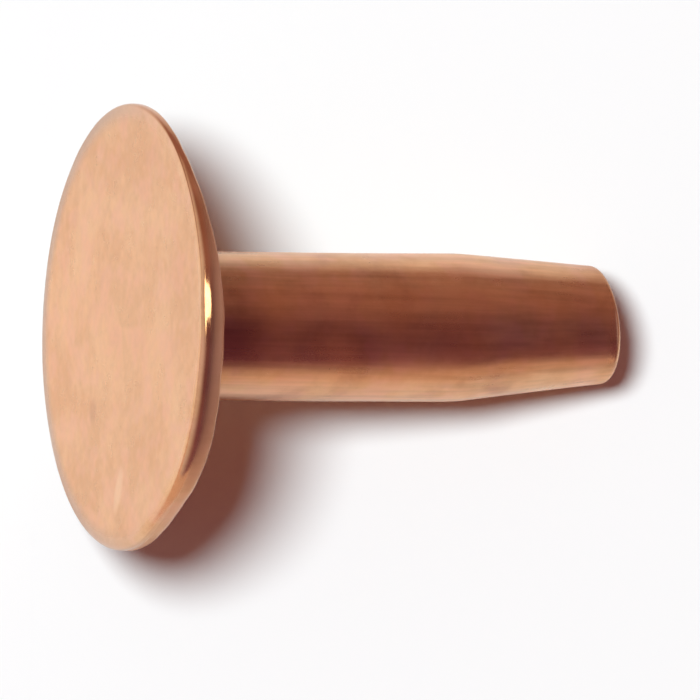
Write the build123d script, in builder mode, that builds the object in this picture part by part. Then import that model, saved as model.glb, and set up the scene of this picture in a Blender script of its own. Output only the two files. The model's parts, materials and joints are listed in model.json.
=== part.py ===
from build123d import *
import os

# Solid copper belt rivet, cold-headed from round wire in one piece.
# It stands on its head: the origin is the centre of the head's flat outer face,
# and +Z runs up the shank to the tapered point. Lengths are in millimetres.

# Driving dimensions: the head
head_diameter = 11.2
head_height = 1.5         # outer face to the foot of the shank
rim_thickness = 0.43      # height of the head's outer edge
face_edge_radius = 0.17   # rolled edge around the outer face
back_edge_radius = 0.2    # edge between the rim and the tapered underside
neck_radius = 0.45        # fillet where the underside runs into the shank

# Driving dimensions: the shank and its point
overall_length = 12.92    # outer face of the head to the end of the point
shank_diameter = 3.73
point_length = 3.9        # tapered length that starts a burr on the shank
point_diameter = 2.95
shoulder_radius = 8.0     # soft shoulder where the taper leaves the shank
end_edge_radius = 0.2     # broken edge around the cut end

os.makedirs("parts", exist_ok=True)

head_r = head_diameter / 2
shank_r = shank_diameter / 2
point_r = point_diameter / 2
shoulder_height = overall_length - point_length

with BuildPart() as rivet:
    with BuildSketch(Plane.XZ):
        with BuildLine():
            # Half section, from the centre of the outer face round to the centre of the cut end
            outline = FilletPolyline(
                (0, 0),
                (head_r, 0),
                (head_r, rim_thickness),
                (shank_r, head_height),
                (shank_r, shoulder_height),
                (point_r, overall_length),
                (0, overall_length),
                radius=[
                    face_edge_radius,
                    back_edge_radius,
                    neck_radius,
                    shoulder_radius,
                    end_edge_radius,
                ],
            )
            Line(outline @ 1, outline @ 0)
        make_face()
    revolve(axis=Axis.Z)

rivet.part.label = "rivet"
export_step(rivet.part, "parts/rivet.step")
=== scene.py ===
import json
import math

import bmesh
import bpy
from mathutils import Matrix, Vector, noise

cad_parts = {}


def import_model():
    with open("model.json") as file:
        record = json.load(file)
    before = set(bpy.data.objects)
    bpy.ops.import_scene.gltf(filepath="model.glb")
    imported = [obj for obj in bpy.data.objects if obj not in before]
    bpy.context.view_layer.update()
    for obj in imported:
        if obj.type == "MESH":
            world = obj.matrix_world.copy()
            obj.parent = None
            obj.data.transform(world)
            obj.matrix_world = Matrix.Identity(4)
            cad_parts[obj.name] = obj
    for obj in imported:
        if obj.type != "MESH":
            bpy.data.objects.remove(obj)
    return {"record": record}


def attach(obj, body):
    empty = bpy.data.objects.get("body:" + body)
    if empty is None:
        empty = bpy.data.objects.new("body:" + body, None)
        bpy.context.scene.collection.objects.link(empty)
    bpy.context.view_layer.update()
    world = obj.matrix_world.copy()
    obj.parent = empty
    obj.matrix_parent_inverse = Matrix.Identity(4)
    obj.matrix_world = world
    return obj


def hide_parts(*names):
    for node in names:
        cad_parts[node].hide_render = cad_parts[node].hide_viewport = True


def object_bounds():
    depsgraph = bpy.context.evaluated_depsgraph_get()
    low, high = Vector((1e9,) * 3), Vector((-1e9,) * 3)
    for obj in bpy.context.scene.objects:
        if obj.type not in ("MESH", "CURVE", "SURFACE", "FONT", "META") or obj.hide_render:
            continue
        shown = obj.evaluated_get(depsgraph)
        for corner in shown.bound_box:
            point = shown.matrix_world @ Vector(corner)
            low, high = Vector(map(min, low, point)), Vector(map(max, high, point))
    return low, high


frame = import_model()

# Looks of a solid copper belt rivet. The rivet stands on its head at the frame's origin, with +Z
# up the shank. The main view shows it lying down, as it comes to rest on a table: the table is a
# sheet that touches the rim of the head and the end of the point. Lengths are in metres.

MM = 0.001
Z = Vector((0, 0, 1))
cad_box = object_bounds()

# ---------------------------------------------------------------- sizes of the rivet
shank_mount = next(m for m in frame["record"]["mounts"] if m["name"] == "shank")
HEAD_R = (cad_box[1].x - cad_box[0].x) / 2
LENGTH = cad_box[1].z
SHANK_R = shank_mount["dims"]["r_mm"] * MM
HEAD_HEIGHT = 1.5 * MM        # outer face to the foot of the shank
NECK_R = 0.45 * MM            # fillet at the foot of the shank
POINT_LENGTH = 3.9 * MM
POINT_R = 1.475 * MM
SHOULDER_R = 8.0 * MM         # soft shoulder where the taper starts
END_EDGE_R = 0.18 * MM

# The head's edge is uneven from cold heading. Places around it are angles from the side that
# faces the camera, towards the upper side.
RIM_THICKNESS = 0.39 * MM     # on average
RIM_SWING = 0.14 * MM         # the face was struck askew: the head is thinner on its upper side
RIM_BULGE = 0.22 * MM         # and thicker towards the camera
RIM_WAVER = 0.03 * MM
RIM_NICK = 0.21 * MM          # thinnest over a short stretch
RIM_NICK_AT = math.radians(48)
RIM_NICK_WIDTH = math.radians(28)
FACE_EDGE_R = 0.18 * MM       # rolled edge of the outer face, on average
FACE_EDGE_SWING = 0.11 * MM   # more of it towards the camera
BACK_EDGE_R = 0.22 * MM       # edge between the rim and the tapered underside
FLAT = 0.20 * MM              # the head is a little out of round on its lower side
FLAT_AT = math.radians(-60)
FLAT_WIDTH = math.radians(18)
DIP = 0.07 * MM               # and a little flat on the near side
DIP_AT = math.radians(-9)
DIP_WIDTH = math.radians(15)
DRAFT = 0.012 * MM            # the rim widens away from the face by this much
DRAFT_SHARE = 0.42            # over this share of its thickness
DRAFT_R = 0.20 * MM           # soft bend where the draft ends
KNOCK = 0.120 * MM            # it widens more where a knock pushed the face's edge in
KNOCK_AT = math.radians(7)
KNOCK_WIDTH = math.radians(8.5)
KNOCK_CREASE = 0.25           # and left it sharper by this share
FACE_EDGE_LIMIT = 0.37        # the rounded edges take up to these shares of the rim's thickness
BACK_EDGE_LIMIT = 0.40
SLOW_DENTS = (450, 0.007 * MM)        # unevenness of the forged surface: scale and height
FINE_DENTS = (1500, 0.0015 * MM)

# The shank isn't quite straight either, towards its upper side
SHANK_LEAN = math.radians(1.3)
SHANK_SHIFT = 0.09 * MM
SHANK_SAG = 0.05 * MM
POINT_SHIFT = 0.05 * MM
END_SLANT = 0.13              # the wire was cut a little askew

# ---------------------------------------------------------------- copper
PALE_COPPER = (0.845, 0.51, 0.28, 1)
DEEP_COPPER = (0.74, 0.415, 0.215, 1)
ROSY_COPPER = (0.855, 0.48, 0.315, 1)
# Painted shade, greying the face's edge on the side away from the camera
SHADE_PAINTED_COPPER = (0.55, 0.39, 0.29, 1)
SCUFFED_COPPER = (0.92, 0.64, 0.40, 1)
BROWN_COPPER = (0.47, 0.235, 0.15, 1)
TARNISH = (0.74, 0.22, 0.08, 1)
RIM_TARNISH = (0.76, 0.41, 0.24, 1)
TARNISH_SHARE = 0.095         # of the surface, as a thin matt film
RIM_TARNISH_SHARE = (0.10, 0.30)      # the rim is duller, towards its back above all
FILM_ROUGHNESS = 0.5
SATIN = 0.31                  # roughness of the metal
BURNISHED = 0.205             # roughness of its worn edges
DULL = 0.5                    # roughness of the rim, which the die left unpolished

# Marks on the outer face: centre and half axes, each as (upwards, to the camera)
SCUFF = ((-4.1 * MM, 0.1 * MM), (0.45 * MM, 0.28 * MM), (-0.08 * MM, 0.20 * MM))
SMUDGE = ((-2.1 * MM, -1.8 * MM), (0.30 * MM, 0.05 * MM), (-0.03 * MM, 0.22 * MM))

# ---------------------------------------------------------------- view
CAMERA_AZIMUTH = math.radians(225)
AXIS_TILT = math.radians(21.85)     # the shank points this far away from the picture plane
AXIS_ROLL = math.radians(-1.7)      # and is turned this far anticlockwise in the picture
CAMERA_DISTANCE = 500 * MM
VIEW_WIDTH = 17.50 * MM             # at the centre of the head's face
FACE_CENTRE = Vector((-5.71 * MM, 0.57 * MM))   # right and up from the middle of the view

# ---------------------------------------------------------------- stage
PAPER = (0.92, 0.988, 0.98, 1)
FLOOR_DROP = 0.02 * MM        # keeps the floor clear of the face that stands on it
TABLE_SIZE = 0.6
TABLE_EDGE = (18 * MM, 36 * MM)       # away from the middle of the rivet it fades into white
RIM_TOUCH = (0.02 * MM, 0.12 * MM)    # where it touches the rim: in from the edge, up from the face
FLOOR_SIZE = 0.4
FLOOR_EDGE = (40 * MM, 110 * MM)      # the floor fades into white as well
KEY_LEFT, KEY_UP, KEY_ABOVE = 0.260, 0.147, 0.953
KEY_DISTANCE = 0.6
KEY_SIZE = 0.158
KEY_POWER = 3.36
KEY_COLOUR = (0.98, 1.02, 1.05)
KEY_GLOW = (5.5, 5.0, 4.0, 1)         # what the metal mirrors of it
OVERHEAD_FROM = Vector((0.75, 0.35, 1.0))
OVERHEAD_DISTANCE = 0.60
OVERHEAD_SIZE = 0.32
OVERHEAD_POWER = 4.9
OVERHEAD_COLOUR = (0.95, 0.98, 1.0)

# What the room adds to matt surfaces: pale from the upper left of the main view, and red from the
# lower right, as if copper threw it there
UPPER_AMBIENT = (0.295, 0.212, 0.190, 1)
LOWER_AMBIENT = (0.150, 0.010, 0.009, 1)

# What the metal mirrors: paper whose reflection is painted darker away from the rivet, a dim room and a
# pale card
# Painted reflection: the metal sees the paper in this darker colour away from the rivet, while the paper
# itself stays pale
DARK_PAPER_REFLECTION = (0.24, 0.13, 0.12, 1)
FADE_UP = (4 * MM, 22 * MM)
FADE_RIGHT = (15.5 * MM, 27 * MM)
FADE_UPPER_RIGHT = (10 * MM, 22 * MM)
FADE_DOWN = (-0.5 * MM, -5 * MM)
DOWN_SHARE = 0.22
ROOM_R = 0.8
DARK_WALL = (0.073, 0.02, 0.05, 1)
LOWER_WALL = (0.15, 0.05, 0.10, 1)
UPPER_WALL = (0.23, 0.115, 0.11, 1)
HORIZON = (0.36, 0.24, 0.22, 1)
LEFT_WALL = (0.68, 0.66, 0.68, 1)
RIGHT_WALL = (0.38, 0.34, 0.44, 1)
CARD_GLOW = (0.71, 0.525, 0.45, 1)
CARD_AWAY = 23 * MM
CARD_HEIGHT = 10.5 * MM
CARD_LEFT = -70 * MM
CARD_RIGHT = 34 * MM

NEAR = Vector((math.sin(CAMERA_AZIMUTH), -math.cos(CAMERA_AZIMUTH), 0))   # the side to the camera
UPPER = NEAR.cross(Z)                                                    # the rivet's upper side


def camera_axes():
    """Right, up and towards-the-camera directions of the view, in the frame."""
    back = NEAR * math.cos(AXIS_TILT) - Z * math.sin(AXIS_TILT)
    right = (Z + back * math.sin(AXIS_TILT)).normalized()
    up = back.cross(right)
    turn = Matrix.Rotation(-AXIS_ROLL, 3, back)
    return turn @ right, turn @ up, back


def table_axes():
    """A point, right, up and normal of the table that the lying rivet touches at rim and end."""
    rim = -NEAR * (HEAD_R - RIM_TOUCH[0]) + Z * RIM_TOUCH[1]
    end = -NEAR * POINT_R + Z * (LENGTH - END_EDGE_R / 2)
    right = (end - rim).normalized()
    return rim, right, UPPER, right.cross(UPPER)


def placed(origin, x_axis, y_axis, z_axis):
    """The matrix that puts an object's origin and axes there."""
    turned = Matrix((x_axis, y_axis, z_axis)).transposed().to_4x4()
    return Matrix.Translation(origin) @ turned


# ---------------------------------------------------------------- the rivet's mesh
def arc(before, corner, after, radius, steps):
    """Points of a fillet of that radius at a corner of the half section."""
    to_before = (before - corner).normalized()
    to_after = (after - corner).normalized()
    half = to_before.angle(to_after) / 2
    reach = radius / math.tan(half)
    centre = corner + (to_before + to_after).normalized() * (radius / math.sin(half))
    start = corner + to_before * reach - centre
    end = corner + to_after * reach - centre
    turn = start.angle_signed(end)
    return [centre + Matrix.Rotation(-turn * k / steps, 2) @ start for k in range(steps + 1)]


def bump(around, centre, width):
    """A smooth swelling of height 1 around the head."""
    return math.exp(-((around - centre) / width) ** 2)


def half_section(around):
    """(radius, height) points of the half section at an angle around the head, face centre to end."""
    facing = math.cos(around)
    across = math.sin(around)
    waver = RIM_WAVER * noise.noise(Vector((facing, across, 0)) * 7)
    nick = RIM_NICK * bump(around, RIM_NICK_AT, RIM_NICK_WIDTH)
    rim = RIM_THICKNESS - RIM_SWING * across + RIM_BULGE * max(0.0, facing) - nick + waver
    knock = bump(around, KNOCK_AT, KNOCK_WIDTH)
    face_edge = min(FACE_EDGE_R + FACE_EDGE_SWING * facing, rim * FACE_EDGE_LIMIT)
    face_edge *= 1 - KNOCK_CREASE * knock
    head_r = HEAD_R - FLAT * bump(around, FLAT_AT, FLAT_WIDTH) - DIP * bump(around, DIP_AT, DIP_WIDTH)
    face_r = head_r - DRAFT - KNOCK * knock
    # corner, its radius, steps around it, steps of the straight stretch after it
    corners = [
        (Vector((0, 0)), 0, 0, 40),
        (Vector((face_r, 0)), face_edge, 12, 3),
        (Vector((head_r, rim * DRAFT_SHARE)), DRAFT_R, 4, 2),
        (Vector((head_r, rim)), min(BACK_EDGE_R, rim * BACK_EDGE_LIMIT), 10, 20),
        (Vector((SHANK_R, HEAD_HEIGHT)), NECK_R, 10, 44),
        (Vector((SHANK_R, LENGTH - POINT_LENGTH)), SHOULDER_R, 8, 24),
        (Vector((POINT_R, LENGTH)), END_EDGE_R, 10, 12),
        (Vector((0, LENGTH)), 0, 0, 0),
    ]
    points = []
    for k, (corner, radius, steps, run) in enumerate(corners):
        if radius:
            bend = arc(corners[k - 1][0], corner, corners[k + 1][0], radius, steps)
        else:
            bend = [corner]
        if points:
            start = points[-1]
            count = corners[k - 1][3]
            points += [start.lerp(bend[0], j / count) for j in range(1, count)]
        points += bend
    return points


def off_axis(height):
    """How far the shank's centre is off the axis, at a height above the face."""
    rise = max(0.0, height - RIM_THICKNESS)
    share = rise / (LENGTH - RIM_THICKNESS)
    foot = min(1.0, rise / (HEAD_HEIGHT - RIM_THICKNESS))
    taper = max(0.0, height - (LENGTH - POINT_LENGTH)) / POINT_LENGTH
    bend = SHANK_SAG * 4 * share * (1 - share)
    return UPPER * (math.tan(SHANK_LEAN) * rise + SHANK_SHIFT * foot + POINT_SHIFT * taper - bend)


def slant(place):
    """How much lower the slanted cut makes a point near the end of the shank."""
    share = max(0.0, place.z - (LENGTH - POINT_LENGTH)) / POINT_LENGTH
    return Z * (-END_SLANT * place.dot(UPPER) * share ** 3)


def dent(point):
    """Small unevenness of the forged surface, along the normal."""
    slow = noise.noise(point * SLOW_DENTS[0]) * SLOW_DENTS[1]
    fine = noise.noise(point * FINE_DENTS[0] + Vector((7, 3, 1))) * FINE_DENTS[1]
    return slow + fine


def surface_point(section, j, around):
    """Where point j of the half section at that angle lies, small faults included."""
    outward = NEAR * math.cos(around) + UPPER * math.sin(around)
    along = (section[j + 1] - section[j - 1]).normalized()
    normal = outward * along.y - Z * along.x
    point = outward * section[j].x + Z * section[j].y
    if section[j].y > 0:
        point += normal * dent(point)
    return point + slant(point) + off_axis(section[j].y)


def build_rivet(steps=320):
    """The whole rivet as one closed mesh of revolution with its small faults."""
    bm = bmesh.new()
    angles = [2 * math.pi * k / steps - math.pi for k in range(steps)]
    sections = [half_section(around) for around in angles]
    middle = range(1, len(sections[0]) - 1)
    face_centre = bm.verts.new((0, 0, 0))
    end_centre = bm.verts.new(Z * LENGTH + off_axis(LENGTH))
    rings = [
        [bm.verts.new(surface_point(section, j, around)) for section, around in zip(sections, angles)]
        for j in middle
    ]
    for k in range(steps):
        after = (k + 1) % steps
        bm.faces.new((face_centre, rings[0][after], rings[0][k]))
        bm.faces.new((end_centre, rings[-1][k], rings[-1][after]))
        for lower, upper in zip(rings, rings[1:]):
            bm.faces.new((lower[k], lower[after], upper[after], upper[k]))
    bmesh.ops.recalc_face_normals(bm, faces=bm.faces)
    for face in bm.faces:
        face.smooth = True
    mesh = bpy.data.meshes.new("rivet_surface")
    bm.to_mesh(mesh)
    bm.free()
    piece = bpy.data.objects.new("rivet_body", mesh)
    bpy.context.collection.objects.link(piece)
    return piece


# ---------------------------------------------------------------- materials
class Nodes:
    """Adds the nodes of one material or world. An input is a value or the socket that feeds it."""

    def __init__(self, owner):
        owner.use_nodes = True
        self.tree = owner.node_tree
        self.tree.nodes.clear()

    def add(self, kind, inputs=None, **settings):
        node = self.tree.nodes.new("ShaderNode" + kind)
        for name, value in settings.items():
            setattr(node, name, value)
        for name, value in (inputs or {}).items():
            if isinstance(value, bpy.types.NodeSocket):
                self.tree.links.new(value, node.inputs[name])
            else:
                node.inputs[name].default_value = value
        return node

    def object_place(self):
        return self.add("TexCoord").outputs["Object"]

    def xyz(self, vector):
        return self.add("SeparateXYZ", {"Vector": vector}).outputs

    def math(self, operation, first, second=0.0):
        return self.add("Math", {0: first, 1: second}, operation=operation).outputs[0]

    def ramp(self, value, start, end, low=0.0, high=1.0):
        """Goes smoothly from low to high while the value goes from start to end."""
        inputs = {"Value": value, "From Min": start, "From Max": end, "To Min": low, "To Max": high}
        return self.add("MapRange", inputs, interpolation_type="SMOOTHSTEP").outputs["Result"]

    def blend(self, factor, first, second, kind="RGBA"):
        inputs = {"Factor": factor, "A": first, "B": second}
        return self.add("Mix", inputs, data_type=kind).outputs["Result"]

    def mix_shader(self, factor, first, second):
        return self.add("MixShader", {"Fac": factor, 1: first, 2: second}).outputs[0]

    def noise(self, place, scale, detail=3.0, roughness=0.55):
        """Noise around 0.5; a scale of three numbers stretches it."""
        if isinstance(scale, tuple):
            place = self.add("Mapping", {"Vector": place, "Scale": scale}).outputs[0]
            scale = 1.0
        inputs = {"Vector": place, "Scale": scale, "Detail": detail, "Roughness": roughness}
        return self.add("TexNoise", inputs).outputs["Fac"]

    def bumps(self, height, distance, strength, normal=None):
        inputs = {"Height": height, "Distance": distance, "Strength": strength}
        if normal:
            inputs["Normal"] = normal
        return self.add("Bump", inputs).outputs["Normal"]

    def surface(self, shader, kind="Material"):
        self.add("Output" + kind, {"Surface": shader})


def copper_zones(nodes, place):
    """Masks of the rivet's parts: shank, face and its edges, painted shade at the face's far edge,
    rim, underside, cut end and its edge.
    """
    height = nodes.xyz(place)["Z"]
    flat = nodes.add("VectorMath", {0: place, 1: (1, 1, 0)}, operation="MULTIPLY").outputs[0]
    radius = nodes.add("VectorMath", {0: flat}, operation="LENGTH").outputs["Value"]
    outer = nodes.ramp(radius, HEAD_R - 0.40 * MM, HEAD_R - 0.22 * MM)
    nearness = nodes.add("VectorMath", {0: place, 1: NEAR}, operation="DOT_PRODUCT").outputs["Value"]
    # Painted shade: the face's edge on the side away from the camera is greyed, standing for the shadow
    # under the head that this edge mirrors
    shaded_brink = nodes.ramp(radius, HEAD_R - 0.60 * MM, HEAD_R - 0.10 * MM)
    shaded_brink = nodes.math("MULTIPLY", shaded_brink, nodes.ramp(nearness, 3 * MM, -3 * MM))
    front = nodes.ramp(height, 0.36 * MM, 0.20 * MM)
    outermost = nodes.ramp(radius, HEAD_R - 0.20 * MM, HEAD_R - 0.08 * MM)
    raised = nodes.ramp(height, 0.12 * MM, 0.30 * MM)
    shank = nodes.ramp(height, 1.3 * MM, 2.1 * MM)
    at_end = nodes.ramp(height, LENGTH - 0.40 * MM, LENGTH - 0.15 * MM)
    cut = nodes.math("MULTIPLY", at_end, nodes.ramp(radius, POINT_R - 0.15 * MM, POINT_R - 0.35 * MM))
    return {
        "height": height,
        "radius": radius,
        "shank": shank,
        "front": front,
        "rolled": nodes.math("MULTIPLY", outer, front),
        "shaded_brink": nodes.math("MULTIPLY", shaded_brink, front),
        "rim": nodes.math("MULTIPLY", outermost, raised),
        "underside": nodes.math("MULTIPLY", raised, nodes.math("SUBTRACT", 1.0, shank)),
        "cut": cut,
        "end_edge": nodes.math("SUBTRACT", at_end, cut),
    }


def mark(nodes, place, zones, centre, along, across):
    """A soft oval mask on the outer face, from its centre and half axes: (upwards, to the camera)."""
    middle, *axes = (UPPER * up + NEAR * near for up, near in (centre, along, across))
    offset = nodes.add("VectorMath", {0: place, 1: middle}, operation="SUBTRACT").outputs[0]
    squares = []
    for axis in axes:
        inputs = {0: offset, 1: axis / axis.length_squared}
        reach = nodes.add("VectorMath", inputs, operation="DOT_PRODUCT").outputs["Value"]
        squares.append(nodes.math("MULTIPLY", reach, reach))
    return nodes.math("MULTIPLY", nodes.ramp(nodes.math("ADD", *squares), 1.8, 0.1), zones["front"])


def copper_colour(nodes, place, zones, lines):
    """Pale, deep and rosy copper in soft patches, with painted shade greying the face's edge away from
    the camera, a scuff and a smudge on the face, brown blooms, a brown hollow under the head and
    drawing lines on the shank."""
    patches = nodes.noise(place, 430, detail=4.0)
    mottle = nodes.noise(place, 2600, detail=3.0)
    tone = nodes.math("ADD", nodes.math("MULTIPLY", patches, 0.7), nodes.math("MULTIPLY", mottle, 0.3))
    colour = nodes.blend(nodes.ramp(tone, 0.38, 0.62), DEEP_COPPER, PALE_COPPER)
    flush = nodes.ramp(nodes.noise(place, 950, detail=2.0), 0.45, 0.65, 0.0, 0.6)
    colour = nodes.blend(flush, colour, ROSY_COPPER)
    # Painted shade: the face's edge away from the camera greyed for the shadow under the head that it
    # mirrors
    colour = nodes.blend(zones["shaded_brink"], colour, SHADE_PAINTED_COPPER)
    scuff = mark(nodes, place, zones, *SCUFF)
    colour = nodes.blend(nodes.math("MULTIPLY", scuff, 0.6), colour, SCUFFED_COPPER)
    smudge = mark(nodes, place, zones, *SMUDGE)
    colour = nodes.blend(nodes.math("MULTIPLY", smudge, 0.3), colour, BROWN_COPPER)
    bloom = nodes.ramp(nodes.noise(place, 760, detail=5.0), 0.52, 0.74)
    held = nodes.ramp(zones["shank"], 0.0, 1.0, 0.12, 0.42)
    colour = nodes.blend(nodes.math("MULTIPLY", bloom, held), colour, BROWN_COPPER)
    hollow = nodes.math("MULTIPLY", zones["underside"], 0.22)
    colour = nodes.blend(hollow, colour, BROWN_COPPER)
    fade = nodes.ramp(lines, 0.3, 0.7, 0.87, 1.08)
    fade = nodes.blend(zones["shank"], nodes.ramp(lines, 0.3, 0.7, 0.97, 1.02), fade, "FLOAT")
    return nodes.add("VectorMath", {0: colour, "Scale": fade}, operation="SCALE").outputs[0]


def copper_roughness(nodes, place, zones, lines):
    """Satin, finer where handling burnished the edges, coarser on the rim and the sheared end."""
    satin = nodes.ramp(nodes.noise(place, 900, detail=4.0), 0.3, 0.7, SATIN - 0.035, SATIN + 0.035)
    satin = nodes.math("ADD", satin, nodes.ramp(lines, 0.3, 0.7, -0.02, 0.02))
    worn = nodes.math("MAXIMUM", zones["rolled"], nodes.math("MULTIPLY", zones["end_edge"], 0.7))
    rough = nodes.blend(zones["rim"], satin, DULL, "FLOAT")
    rough = nodes.blend(worn, rough, BURNISHED, "FLOAT")
    return nodes.blend(zones["cut"], rough, SATIN + 0.12, "FLOAT")


def copper_relief(nodes, place, zones, lines):
    """Grain, drawing lines along the shank, die rings under the head, shear marks on the end."""
    finer = nodes.ramp(zones["shank"], 0.0, 1.0, 1.0, 0.4)
    grain = nodes.math("MULTIPLY", nodes.noise(place, 5200, detail=2.0), finer)
    grain = nodes.bumps(grain, 0.010 * MM, 0.24)
    drawn = nodes.math("MULTIPLY", lines, zones["shank"])
    normal = nodes.bumps(drawn, 0.006 * MM, 0.35, grain)
    ring_place = nodes.add("CombineXYZ", {"X": zones["radius"], "Y": 0.0, "Z": 0.0}).outputs[0]
    rings = nodes.math("MULTIPLY", nodes.noise(ring_place, 9000, detail=2.0), zones["underside"])
    normal = nodes.bumps(rings, 0.010 * MM, 0.4, normal)
    sheared = nodes.math("MULTIPLY", nodes.noise(place, (900, 9000, 900), detail=2.0), zones["cut"])
    return nodes.bumps(sheared, 0.03 * MM, 0.5, normal)


def copper():
    """Bare copper, drawn and headed, lightly tarnished, burnished on its edges."""
    material = bpy.data.materials.new("copper")
    nodes = Nodes(material)
    place = nodes.object_place()
    zones = copper_zones(nodes, place)
    lines = nodes.noise(place, (4200, 4200, 190), detail=2.5)
    metal = nodes.add("BsdfPrincipled", {
        "Metallic": 1.0,
        "Base Color": copper_colour(nodes, place, zones, lines),
        "Roughness": copper_roughness(nodes, place, zones, lines),
        "Normal": copper_relief(nodes, place, zones, lines),
    })
    tarnish = nodes.blend(zones["rim"], TARNISH, RIM_TARNISH)
    film = nodes.add("BsdfDiffuse", {"Color": tarnish, "Roughness": FILM_ROUGHNESS})
    blotches = nodes.noise(place, 620, detail=4.0)
    spots = nodes.ramp(blotches, 0.35, 0.65, TARNISH_SHARE - 0.03, TARNISH_SHARE + 0.03)
    towards_back = nodes.ramp(zones["height"], 0.26 * MM, 0.50 * MM, *RIM_TARNISH_SHARE)
    dull = nodes.math("MULTIPLY", zones["rim"], towards_back)
    share = nodes.math("MAXIMUM", spots, dull)
    nodes.surface(nodes.mix_shader(share, metal.outputs["BSDF"], film.outputs["BSDF"]))
    return material


def paper_reflection_darkening(nodes, place):
    """How much darker the metal's painted reflection of the table's paper gets, away from the rivet."""
    along = nodes.xyz(place)
    upper = nodes.ramp(along["Y"], -2 * MM, 2 * MM)
    beside = nodes.ramp(along["X"], -1 * MM, 2 * MM, 0.0, DOWN_SHARE)
    fade = nodes.ramp(along["Y"], *FADE_UP)
    for other in (
        nodes.ramp(along["X"], *FADE_RIGHT),
        nodes.math("MULTIPLY", nodes.ramp(along["X"], *FADE_UPPER_RIGHT), upper),
        nodes.math("MULTIPLY", nodes.ramp(along["Y"], *FADE_DOWN), beside),
    ):
        fade = nodes.math("MAXIMUM", fade, other)
    return fade


def paper(name, edge, middle, fades):
    """Matt pale paper, seen from its front only. To the camera its edge fades into the white around
    it, and what metal mirrors of it may be painted darker away from the rivet."""
    material = bpy.data.materials.new(name)
    nodes = Nodes(material)
    front = nodes.add("BsdfDiffuse", {"Color": PAPER}).outputs[0]
    place = nodes.object_place()
    path = nodes.add("LightPath").outputs
    # Painted reflection: mirrored rays see the paper darker away from the rivet
    if fades:
        far = nodes.add("BsdfDiffuse", {"Color": DARK_PAPER_REFLECTION}).outputs[0]
        share = nodes.math("MULTIPLY", paper_reflection_darkening(nodes, place), path["Is Glossy Ray"])
        front = nodes.mix_shader(share, front, far)
    distance = nodes.add("VectorMath", {0: place, 1: middle}, operation="DISTANCE").outputs["Value"]
    gone = nodes.math("MULTIPLY", nodes.ramp(distance, *edge), path["Is Camera Ray"])
    gone = nodes.math("MAXIMUM", gone, nodes.add("NewGeometry").outputs["Backfacing"])
    clear = nodes.add("BsdfTransparent").outputs[0]
    nodes.surface(nodes.mix_shader(gone, front, clear))
    return material


# ---------------------------------------------------------------- stage
def stage_piece(name, mesh, material, matrix):
    """Adds a piece of the stage."""
    mesh.materials.append(material)
    obj = bpy.data.objects.new(name, mesh)
    obj.matrix_world = matrix
    bpy.context.collection.objects.link(obj)
    return obj


def rectangle(name, left, right, bottom, top, material, matrix):
    """A flat piece of the stage in its own XY plane."""
    mesh = bpy.data.meshes.new(name)
    corners = [(left, bottom, 0), (right, bottom, 0), (right, top, 0), (left, top, 0)]
    mesh.from_pydata(corners, [], [(0, 1, 2, 3)])
    return stage_piece(name, mesh, material, matrix)


def square(name, size, material, matrix):
    """A square sheet in its own XY plane, around its origin."""
    half = size / 2
    return rectangle(name, -half, half, -half, half, material, matrix)


def seen_by(obj, camera, mirrors, others):
    """Sets which rays see a piece of the stage: the camera's, those off metal, and all others."""
    obj.visible_camera = camera
    obj.visible_glossy = mirrors
    obj.visible_diffuse = others
    obj.visible_transmission = others
    obj.visible_shadow = others


def glowing(name, colour_of, sampling="NONE"):
    """A material that only glows, in the colour that the function gives. It is seen in the metal
    alone, so by default no light is sampled from it."""
    material = bpy.data.materials.new(name)
    material.cycles.emission_sampling = sampling
    nodes = Nodes(material)
    nodes.surface(nodes.add("Emission", {"Color": colour_of(nodes)}).outputs[0])
    return material


def wall_colour(nodes):
    """Dark behind the camera, paler above, below and along the upper horizon, daylight on the left
    and some on the right."""
    unit = nodes.add("VectorMath", {0: nodes.object_place()}, operation="NORMALIZE").outputs[0]
    towards = nodes.xyz(unit)
    walls = nodes.blend(nodes.ramp(towards["Y"], 0.0, 0.6), DARK_WALL, UPPER_WALL)
    walls = nodes.blend(nodes.ramp(towards["Y"], -0.35, -0.8), walls, LOWER_WALL)
    low = nodes.math("MULTIPLY", nodes.ramp(towards["Z"], 0.45, -0.1), nodes.ramp(towards["Y"], 0.5, 0.85))
    walls = nodes.blend(low, walls, HORIZON)
    walls = nodes.blend(nodes.ramp(towards["X"], 0.82, 0.98), walls, RIGHT_WALL)
    return nodes.blend(nodes.ramp(towards["X"], 0.1, -0.95), walls, LEFT_WALL)


def room(matrix):
    """A dome around the table that only the metal mirrors."""
    mesh = bpy.data.meshes.new("room")
    bm = bmesh.new()
    bmesh.ops.create_uvsphere(bm, u_segments=48, v_segments=24, radius=ROOM_R)
    bm.to_mesh(mesh)
    bm.free()
    dome = stage_piece("room", mesh, glowing("room", wall_colour), matrix)
    seen_by(dome, camera=False, mirrors=True, others=False)


def card(axes):
    """A pale card that stands on the table, below the rivet in the main view, for the metal to
    mirror."""
    origin, right, up, normal = axes
    upright = placed(origin - up * CARD_AWAY, right, normal, -up)
    material = glowing("card", lambda nodes: CARD_GLOW)
    piece = rectangle("card", CARD_LEFT, CARD_RIGHT, 0, CARD_HEIGHT, material, upright)
    seen_by(piece, camera=False, mirrors=True, others=False)


def soft_light(name, direction, distance, size, power):
    """A round area light that shines on the middle of the rivet from a direction."""
    data = bpy.data.lights.new(name, "AREA")
    data.shape = "DISK"
    data.size = size
    data.energy = power
    obj = bpy.data.objects.new(name, data)
    obj.location = Z * LENGTH / 2 + direction.normalized() * distance
    obj.rotation_mode = "QUATERNION"
    obj.rotation_quaternion = direction.to_track_quat("Z", "Y")
    obj.visible_camera = False
    bpy.context.collection.objects.link(obj)
    return obj


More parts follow.
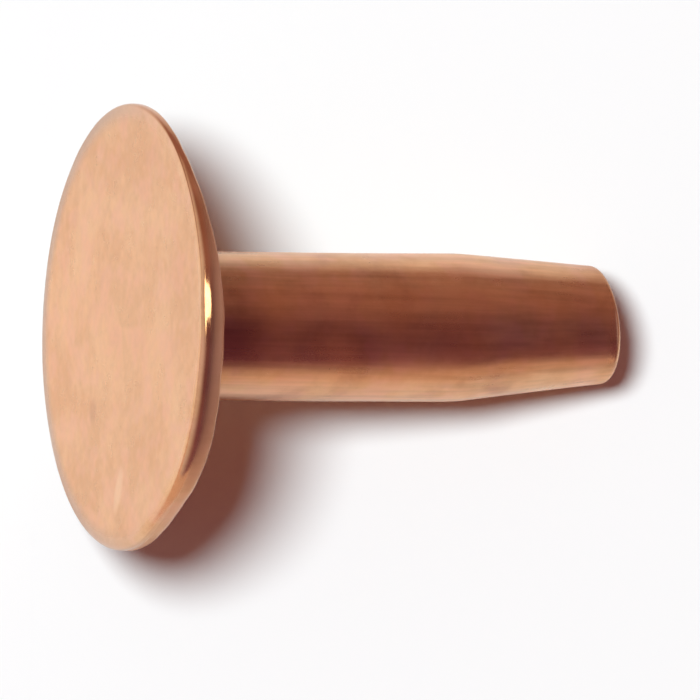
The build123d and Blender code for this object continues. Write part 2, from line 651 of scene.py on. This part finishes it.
def only_lights(light, receivers, blockers):
    """Limits a light to these receivers and these blockers."""
    for word, objects in (("receiver", receivers), ("blocker", blockers)):
        group = bpy.data.collections.new(f"{light.name}_{word}s")
        for obj in objects:
            group.objects.link(obj)
        setattr(light.light_linking, f"{word}_collection", group)


def lights(axes, floor, rivet):
    """A key from the upper left of the main view, and a light that gives the floor its shadow."""
    _, right, up, normal = axes
    direction = -right * KEY_LEFT + up * KEY_UP + normal * KEY_ABOVE
    key = soft_light("key", direction, KEY_DISTANCE, KEY_SIZE, KEY_POWER)
    key.data.color = KEY_COLOUR
    key.visible_glossy = False
    # The metal mirrors a glowing disc in the key's place, dimmer and warmer than the key itself
    mesh = bpy.data.meshes.new("key_image")
    bm = bmesh.new()
    bmesh.ops.create_circle(bm, cap_ends=True, segments=48, radius=KEY_SIZE / 2)
    bm.to_mesh(mesh)
    bm.free()
    glow = glowing("key_image", lambda nodes: KEY_GLOW, "FRONT_BACK")
    image = stage_piece("key_image", mesh, glow, key.matrix_basis)
    seen_by(image, camera=False, mirrors=True, others=False)
    overhead = soft_light("overhead", OVERHEAD_FROM, OVERHEAD_DISTANCE, OVERHEAD_SIZE, OVERHEAD_POWER)
    overhead.data.color = OVERHEAD_COLOUR
    only_lights(overhead, [floor], [rivet])


def world(low):
    """White to the camera and to mirrors, dim to matt surfaces, dimmest from the low direction."""
    studio = bpy.data.worlds.new("studio")
    bpy.context.scene.world = studio
    nodes = Nodes(studio)
    path = nodes.add("LightPath").outputs
    seen = nodes.math("MAXIMUM", path["Is Camera Ray"], path["Is Glossy Ray"])
    seen = nodes.math("MAXIMUM", seen, path["Is Transmission Ray"])
    direction = nodes.add("TexCoord").outputs["Generated"]
    lowness = nodes.add("VectorMath", {0: direction, 1: low}, operation="DOT_PRODUCT").outputs["Value"]
    ambient = nodes.blend(nodes.ramp(lowness, -0.6, 0.3), UPPER_AMBIENT, LOWER_AMBIENT)
    dim = nodes.add("Background", {"Color": ambient}).outputs[0]
    white = nodes.add("Background", {"Color": (1, 1, 1, 1)}).outputs[0]
    nodes.surface(nodes.mix_shader(seen, dim, white), "World")


def camera():
    """The camera, square to the picture plane that the shank points away from."""
    right, up, back = camera_axes()
    data = bpy.data.cameras.new("camera")
    data.sensor_width = 36.0
    data.lens = data.sensor_width * CAMERA_DISTANCE / VIEW_WIDTH
    data.clip_start = 10 * MM
    data.clip_end = 2.0
    obj = bpy.data.objects.new("camera", data)
    place = back * CAMERA_DISTANCE - right * FACE_CENTRE.x - up * FACE_CENTRE.y
    obj.matrix_world = placed(place, right, up, back)
    bpy.context.collection.objects.link(obj)
    bpy.context.scene.camera = obj


def main():
    rivet = build_rivet()
    rivet.data.materials.append(copper())
    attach(rivet, "root")
    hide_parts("rivet")

    axes = table_axes()
    origin, right, up, normal = axes
    on_table = placed(origin, right, up, normal)
    middle = (LENGTH / 2, 0, 0)
    table = square("table", TABLE_SIZE, paper("table_paper", TABLE_EDGE, middle, fades=True), on_table)
    table.visible_diffuse = False
    under = Matrix.Translation(-Z * FLOOR_DROP)
    floor = square("floor", FLOOR_SIZE, paper("floor_paper", FLOOR_EDGE, (0, 0, 0), fades=False), under)
    seen_by(floor, camera=True, mirrors=False, others=False)
    room(on_table)
    card(axes)
    lights(axes, floor, rivet)
    world((right - up).normalized())
    camera()
    bpy.context.scene.view_settings.view_transform = "Standard"


main()
